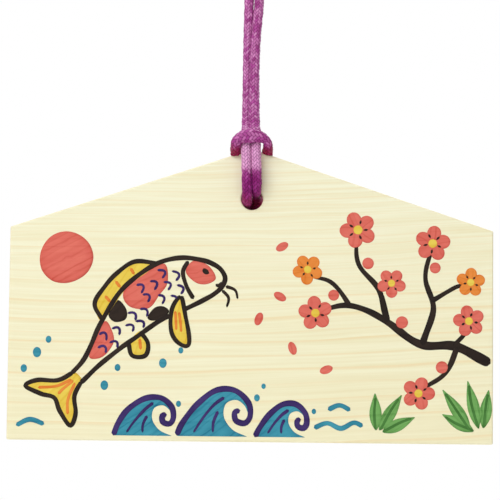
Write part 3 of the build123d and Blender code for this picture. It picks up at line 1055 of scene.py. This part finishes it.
dark_patches = [
    ([(0.45, 0.88), (0.37, 0.88), (0.36, 0.35), (0.41, 0.0), (0.45, 0.3)], 45),
    ([(0.63, -0.85), (0.53, -0.88), (0.5, -0.6), (0.57, -0.42), (0.62, -0.55)], 20),
]
carp_eye = [(0.915, 0.36), (0.905, 0.56), (0.885, 0.58), (0.88, 0.4), (0.895, 0.28)]

ink_piece("ink_carp_fins", [
    pen_fill(tail_edge, lanes=TAIL_LEAN, seed=1),
    pen_fill(back_fin, lanes=60, seed=2),
    pen_fill(belly_fin, lanes=70, seed=4),
    pen_fill(breast_fin, lift=BREAST_LIFT, lanes=80, seed=3),
], yellow_ink)
ink_piece("ink_carp_patches", [
    pen_fill(on_carp(patch), lanes=lanes, seed=at + 5) for at, (patch, lanes) in enumerate(coral_patches)
], coral_ink)
ink_piece("ink_carp_marks", [
    *[pen_fill(on_carp(patch), lanes=lanes, seed=at + 8) for at, (patch, lanes) in enumerate(dark_patches)],
    pen_fill(on_carp(carp_eye), lift=TOP_LIFT, seed=10),
], brown_ink)

# %% [markdown]
# ## Lines of the carp
# Such a drawing is outlined last, with a dark pen over the dry colours. So these lines lie higher than the
# fills, and the breast fin's line lies on top, because that fin is in front of the body. Each scale is one
# short arc.

# %% Carp outline
BODY_PEN, FIN_PEN, GILL_PEN, THIN_PEN = 1.5, 1.4, 1.3, 1.1

side_shares = [0.0, 0.1, 0.2, 0.3, 0.4, 0.5, 0.6, 0.7, 0.8, 0.88, 0.94, 0.98]
carp_edge = [(share, 1) for share in side_shares] + [(1, 0)] + [(share, -1) for share in side_shares[::-1]]
gill = [(0.82, 0.86), (0.785, 0.4), (0.785, -0.2), (0.82, -0.8)]
mouth = [(0.985, -0.5), (0.96, -0.55), (0.945, -0.35)]
lower_barbel = [(-9.2, 46.9), (-7.0, 44.6), (-7.4, 41.6)]
upper_barbel = [(-8.0, 48.2), (-4.8, 46.8), (-3.9, 43.9)]
ink_piece("ink_carp_outline", [
    pen_line(on_carp(carp_edge), BODY_PEN, seed=1),
    pen_line(tail_edge, FIN_PEN, seed=2),
    pen_line(back_fin[:-1], FIN_PEN, seed=3),
    pen_line(breast_fin, FIN_PEN, lift=BREAST_LINE, closed=True, seed=4),
    pen_line(belly_fin, FIN_PEN, seed=5),
    pen_line(on_carp(gill), GILL_PEN, seed=6),
    pen_line(on_carp(mouth), THIN_PEN, seed=7),
    pen_line(lower_barbel, THIN_PEN, taper=(1.0, 0.6), seed=8),
    pen_line(upper_barbel, THIN_PEN, taper=(1.0, 0.6), seed=9),
], brown_ink)

# %% Fin rays and scales
RAY_PEN, SCALE_PEN = 0.9, 0.8
SCALE_BULGE, SCALE_HALF = 0.028, 1.55

tail_rays = [
    [(-1, 0.6), (-6, 2.6), (-10, 6.4)],
    [(-1, 0), (-5, 0.6), (-7.2, 0.6)],
    [(-1, -0.6), (-6, -2.8), (-9.6, -6.2)],
]
back_rays = [[(0.42, 1.1), (0.42, 1.5)], [(0.5, 1.1), (0.5, 1.46)], [(0.58, 1.1), (0.58, 1.4)]]
breast_rays = [[(0.69, -1.0), (0.63, -1.75)], [(0.67, -0.9), (0.605, -1.6)]]
belly_ray = [(0.385, -1.2), (0.33, -1.85)]
ink_piece("ink_carp_rays", [
    *[pen_line(on_tail(ray), RAY_PEN, seed=at) for at, ray in enumerate(tail_rays)],
    *[pen_line(on_carp(ray), RAY_PEN) for ray in back_rays],
    *[pen_line(on_carp(ray), RAY_PEN, lift=BREAST_LINE) for ray in breast_rays],
    pen_line(on_carp(belly_ray), RAY_PEN),
], orange_ink)


def scale_arc(share, across):
    """One scale: an arc that bulges towards the nose, from one side of its place to the other."""
    span = np.linspace(-1, 1, 5)
    girth = np.interp(share, GIRTH[:, 0], GIRTH[:, 1])
    bulge = share + SCALE_BULGE * (1 - span**2)
    return on_carp(np.stack([bulge, across + SCALE_HALF / girth * span], axis=1))


scale_rows = [
    (0.2, (-0.1,)), (0.26, (0.45, -0.5)), (0.32, (-0.05,)), (0.38, (-0.45,)),
    (0.44, (-0.1, -0.6)), (0.5, (-0.35,)), (0.56, (0.55, 0.1)), (0.62, (-0.25, 0.35)),
    (0.68, (0.62, 0.1, -0.5)), (0.74, (0.35, -0.2)),
]
ink_piece("ink_carp_scales", [
    pen_line(scale_arc(share, across), SCALE_PEN, lift=TOP_LIFT, seed=share * 20 + across)
    for share, places in scale_rows for across in places
], violet_ink)

# %% [markdown]
# ## Waves and spray
# Each wave is a band between two edges: its back climbs from the foot, goes over the crest and dives to the
# tip, and its face is hollow. The same few places, grown or shrunk and moved along the foot, make all
# three. Teal fills lie under violet lines, and the last run of the crest's line winds in as a curl.

# %% Waves
WAVE_PEN = 1.8
WAVE_FOOT = 1.6
WAVE_BACK = [(-9, 1.6), (-7.4, 5.2), (-4.2, 9.8), (0.6, 13.2), (5.6, 13.4), (9.0, 10.6), (9.6, 7.2)]
WAVE_FACE = [(9, 1.6), (5.2, 3.4), (3.0, 6.6), (3.4, 9.9), (6.0, 11.0), (8.2, 9.6), (9.3, 7.2)]
WAVE_CURL = [(8.4, 5.2), (6.2, 5.7), (5.9, 7.7), (7.3, 8.2)]
WAVE_STREAKS = [[(-4.8, 2.6), (-2.4, 6.4), (0.4, 9.6), (3.2, 11.7)], [(0.2, 2.6), (0.2, 5.2), (1.3, 8.0)]]
WAVES = [(-33.0, 1.0), (-11.5, 1.2), (9.5, 0.85)]


def on_wave(places, middle_x, size):
    """Places of the wave pattern, grown by a size from the middle of its foot."""
    return np.array([middle_x, WAVE_FOOT]) + size * (np.array(places) - (0, WAVE_FOOT))


ink_piece("ink_wave_swells", [
    pen_band(on_wave(WAVE_BACK, *wave), on_wave(WAVE_FACE, *wave), lanes=35, seed=at + 20)
    for at, wave in enumerate(WAVES)
], teal_ink)
ink_piece("ink_wave_curls", [
    pen_line(on_wave(WAVE_BACK + WAVE_CURL, *wave), WAVE_PEN, seed=at + 3) for at, wave in enumerate(WAVES)
], violet_ink)
ink_piece("ink_wave_streaks", [
    pen_line(on_wave(streak, *wave), THIN_PEN, taper=(0.6, 1.0), seed=at + 5)
    for at, wave in enumerate(WAVES) for streak in WAVE_STREAKS
], violet_ink)

# %% Spray
EIGHTHS = np.radians(np.arange(0, 360, 45))
ROUND = np.stack([np.cos(EIGHTHS), np.sin(EIGHTHS)], axis=1)
DROP_TALL = np.array([1.0, 1.25])

drops = [
    (-70, 22, 1.0), (-66, 27, 1.3), (-45, 17, 1.2), (-62.5, 31, 0.9), (-41, 22.5, 0.9), (-27, 24, 1.2),
    (-21.5, 28, 0.8), (-22, 11.5, 0.8), (2.2, 13.6, 0.9), (4.2, 17.2, 0.7), (19.8, 9.6, 0.7),
]
ripples = [
    [(20, 4.5), (24, 6.2), (28, 4.6), (32, 6.2), (35, 5.0)],
    [(-72, 4.5), (-68, 6.2), (-63.5, 4.6)],
    [(24, 10), (27.5, 11.4), (31, 10)],
]
ink_piece("ink_spray", [
    *[pen_fill((x, h) + size * DROP_TALL * ROUND, seed=x) for x, h, size in drops],
    *[pen_line(ripple, BODY_PEN, seed=at + 11) for at, ripple in enumerate(ripples)],
], teal_ink)

# %% [markdown]
# ## Sun and plum branch
# The other motifs are old good-luck signs. The sun is a round that wobbles a little, as one drawn by hand
# does, and the branch is a few strokes that grow thinner: the bough first, and then its twigs.

# %% Sun and branch
SUN_MIDDLE, SUN_RADIUS = np.array([-57.5, 56.5]), 8.2
SUN_WOBBLE = [(0.22, 2, 0.6), (0.16, 3, 2.0)]
BRANCHES = [
    ([(74, 25), (64, 30), (53, 30.5), (43, 37), (31, 42.5), (21.5, 41)], 3.2, (1.0, 0.45)),
    ([(53, 30.5), (56.5, 41), (54, 51), (56, 60)], 2.2, (1.0, 0.55)),
    ([(42.5, 37.3), (39.5, 47.5), (33.5, 55), (32.5, 63.5)], 2.1, (1.0, 0.55)),
    ([(56, 44), (63, 48.5), (66.5, 49)], 1.6, (1.0, 0.7)),
    ([(64, 30), (60, 21.5), (53.5, 17)], 1.9, (1.0, 0.6)),
    ([(30.5, 42.3), (25, 49.5), (19.5, 51.5)], 1.6, (1.0, 0.7)),
    ([(62.5, 30.3), (66, 34), (67.3, 37)], 1.5, (1.0, 0.7)),
]

sun_angle = np.radians(np.arange(0, 360, 30))
sun_reach = SUN_RADIUS + sum(share * np.sin(times * sun_angle + start) for share, times, start in SUN_WOBBLE)
sun_edge = SUN_MIDDLE + sun_reach[:, None] * np.stack([np.cos(sun_angle), np.sin(sun_angle)], axis=1)
ink_piece("ink_sun", [pen_fill(sun_edge, lanes=28, seed=30)], coral_ink)
ink_piece("ink_branch", [
    pen_line(points, width, lift=BRANCH_LIFT, taper=taper, seed=at + 1.7)
    for at, (points, width, taper) in enumerate(BRANCHES)
], brown_ink)

# %% [markdown]
# ## Plum blossoms and bamboo leaves
# A blossom is five round petals, each one fifth of a turn from the last, with a yellow heart and with
# stamens between the petals. A leaf is a lens whose width follows half a sine wave along it, and its rib is
# drawn last.

# %% Blossoms
BLOSSOMS = [
    (56.2, 62, 5.6, 10), (33, 66, 5.8, 40), (20, 40, 5.4, 25),
    (52, 15.5, 5.2, 0), (43.5, 49.5, 4.6, 55), (67.5, 38, 5.0, 30),
]
ORANGE_BLOSSOMS = [(68, 50, 4.6, 15), (17.5, 53.5, 4.8, 50)]
FIFTHS, HALF_FIFTH = np.arange(0, 360, 72), 36
PETAL_OUT, PETAL_SHAPE = np.array([0.57, 0.0]), 0.4 * np.array([1.05, 0.98])
HEART_SIZE, STAMEN_FROM, STAMEN_TO, STAMEN_PEN = 0.26, 0.3, 0.56, 0.7
BUDS = [(46.8, 37.4, 1.9), (36.2, 55.6, 1.8), (59.2, 23.6, 1.9), (25.6, 45.6, 1.7), (57.0, 54.4, 1.7)]
LOOSE_PETALS = [(9.5, 60.5, 30), (13, 29, 110), (2.5, 38, 70), (23.5, 22.5, 20), (9, 45, 150)]
LOOSE_PETAL = np.array([2.1, 1.25]) * ROUND


def flower_marks(flowers):
    """Five petals for each flower: a slightly flat round, moved out and turned by fifths."""
    petal = PETAL_OUT + PETAL_SHAPE * ROUND
    return [
        pen_fill((x, h) + size * turned_by(petal, angle), lift=OVER_LIFT, lanes=angle, seed=x + at)
        for x, h, size, turn in flowers for at, angle in enumerate(turn + FIFTHS)
    ]


ink_piece("ink_blossoms", [
    *flower_marks(BLOSSOMS),
    *[pen_fill((x, h) + size * ROUND, seed=x, lift=OVER_LIFT) for x, h, size in BUDS],
    *[pen_fill((x, h) + turned_by(LOOSE_PETAL, turn), lanes=turn, seed=x) for x, h, turn in LOOSE_PETALS],
], coral_ink)
ink_piece("ink_orange_blossoms", flower_marks(ORANGE_BLOSSOMS), orange_ink)
ink_piece("ink_blossom_hearts", [
    pen_fill((x, h) + HEART_SIZE * size * ROUND, lift=LINE_LIFT, seed=x)
    for x, h, size, turn in BLOSSOMS + ORANGE_BLOSSOMS
], yellow_ink)
stamen = np.array([(STAMEN_FROM, 0), (STAMEN_TO, 0)])
ink_piece("ink_stamens", [
    pen_line((x, h) + size * turned_by(stamen, angle), STAMEN_PEN, lift=TOP_LIFT, seed=x + at)
    for x, h, size, turn in BLOSSOMS + ORANGE_BLOSSOMS
    for at, angle in enumerate(turn + FIFTHS + HALF_FIFTH)
], brown_ink)

# %% Leaves
LEAVES = [
    (69, 4, 11, 152), (68, 4.5, 15, 125), (70.5, 5, 15, 103), (72, 5, 12, 82),
    (41, 3.5, 11, 25), (40, 4, 13, 58), (39, 4, 11.5, 92),
]
LEAF_HALF, LEAF_POINT = 1.9, 0.8
LEAF_RIB = np.array([(0, 0), (0.5, 0.3), (0.9, 0)])


def leaf(x, h, length, turn):
    """A pointed leaf: half-width 1.9 sin(pi t^0.8) mm at the share t of its length."""
    share = np.array([0.0, 0.12, 0.3, 0.5, 0.7, 0.88, 1.0])
    half = LEAF_HALF * np.sin(np.pi * share**LEAF_POINT)
    upper = np.stack([length * share, half], axis=1)
    lower = np.stack([length * share, -half], axis=1)[-2:0:-1]
    return (x, h) + turned_by(np.concatenate([upper, lower]), turn)


ink_piece("ink_leaves", [
    pen_fill(leaf(x, h, length, turn), lanes=turn, seed=length + turn) for x, h, length, turn in LEAVES
], green_ink)
ink_piece("ink_leaf_ribs", [
    pen_line((x, h) + turned_by(LEAF_RIB * (length, 1), turn), SCALE_PEN, seed=turn)
    for x, h, length, turn in LEAVES
], deep_green_ink)

# %% [markdown]
# ## Floor and background
# A pale floor of matt paper below the hanging plaque catches a soft shadow and shows no glare. The
# background is white for the eye and for reflections only, through the light path, and the room's own light
# is softer.

# %% Floor
FLOOR_Z, FLOOR_SIZE = -0.30, 2.4
PAPER_FLECKS_PER_METRE = 900.0

matt_floor, tree = new_material("matt_paper_floor")
place = add(tree, "TexCoord", {})["Object"]
speckle = add(tree, "TexNoise", {"Vector": place, "Scale": PAPER_FLECKS_PER_METRE})["Fac"]
tint = add(tree, "Mix", {0: speckle, 6: linear("#F4F4F2"), 7: linear("#FAFAF8")}, data_type="RGBA")[2]
paper = add(tree, "BsdfPrincipled", {"Base Color": tint, "Roughness": 0.9})[0]
add(tree, "OutputMaterial", {"Surface": paper})

corners = np.array([(-1, -1, 0), (1, -1, 0), (1, 1, 0), (-1, 1, 0)]) * FLOOR_SIZE / 2 + (0, 0, FLOOR_Z)
sheet = bpy.data.meshes.new("floor")
sheet.from_pydata(corners, [], [(0, 1, 2, 3)])
sheet.materials.append(matt_floor)
floor = bpy.data.objects.new("floor", sheet)
scene.collection.objects.link(floor)
print("floor at mm:", FLOOR_Z / MM)

# %% White room
ROOM_LIGHT, WHITE = 0.3, 1.0

room = bpy.data.worlds.new("white_room")
room.use_nodes = True
room.node_tree.nodes.clear()
scene.world = room
tree = room.node_tree
path = add(tree, "LightPath", {})
seen = add(tree, "Math", {0: path["Is Camera Ray"], 1: path["Is Glossy Ray"]}, operation="MAXIMUM")[0]
seen = add(tree, "Math", {0: seen, 1: path["Is Transmission Ray"]}, operation="MAXIMUM")[0]
level = add(tree, "MapRange", {"Value": seen, "To Min": ROOM_LIGHT, "To Max": WHITE})[0]
sky = add(tree, "Background", {"Color": (1, 1, 1, 1), "Strength": level})[0]
add(tree, "OutputWorld", {"Surface": sky})
scene.view_settings.view_transform = "Standard"
print("room light:", ROOM_LIGHT, "and for the eye:", WHITE)

# %% [markdown]
# ## Light
# The main lamp hangs above the camera, a little to the left, so the cord's right side and its right end in
# the hole lie in shade. It is large, so that the shadow beside the strands stays soft. A lamp behind lights
# the back, and an even light from overhead keeps the whole floor pale.

# %% Lamps
LAMP_AIM = (0, 0, -0.09)
OVERHEAD_LIGHT, OVERHEAD_SPREAD = 1.0, np.radians(90.0)


def lamp(name, place, width, height, power):
    """A soft lamp with a rectangular face that looks at the plaque."""
    light = bpy.data.lights.new(name, "AREA")
    light.shape = "RECTANGLE"
    light.size, light.size_y = width, height
    light.energy = power
    holder = bpy.data.objects.new(name, light)
    direction = Vector(LAMP_AIM) - Vector(place)
    holder.rotation_euler = direction.to_track_quat("-Z", "Y").to_euler()
    holder.location = place
    scene.collection.objects.link(holder)


lamp("key_lamp", (-0.35, -0.7, 0.5), width=0.7, height=0.45, power=5.35)
lamp("back_lamp", (0.3, 0.8, 0.5), width=0.5, height=0.5, power=4.2)
overhead = bpy.data.lights.new("overhead_light", "SUN")
overhead.energy, overhead.angle = OVERHEAD_LIGHT, OVERHEAD_SPREAD
scene.collection.objects.link(bpy.data.objects.new("overhead_light", overhead))
print("lamps:", [light.name for light in bpy.data.lights])
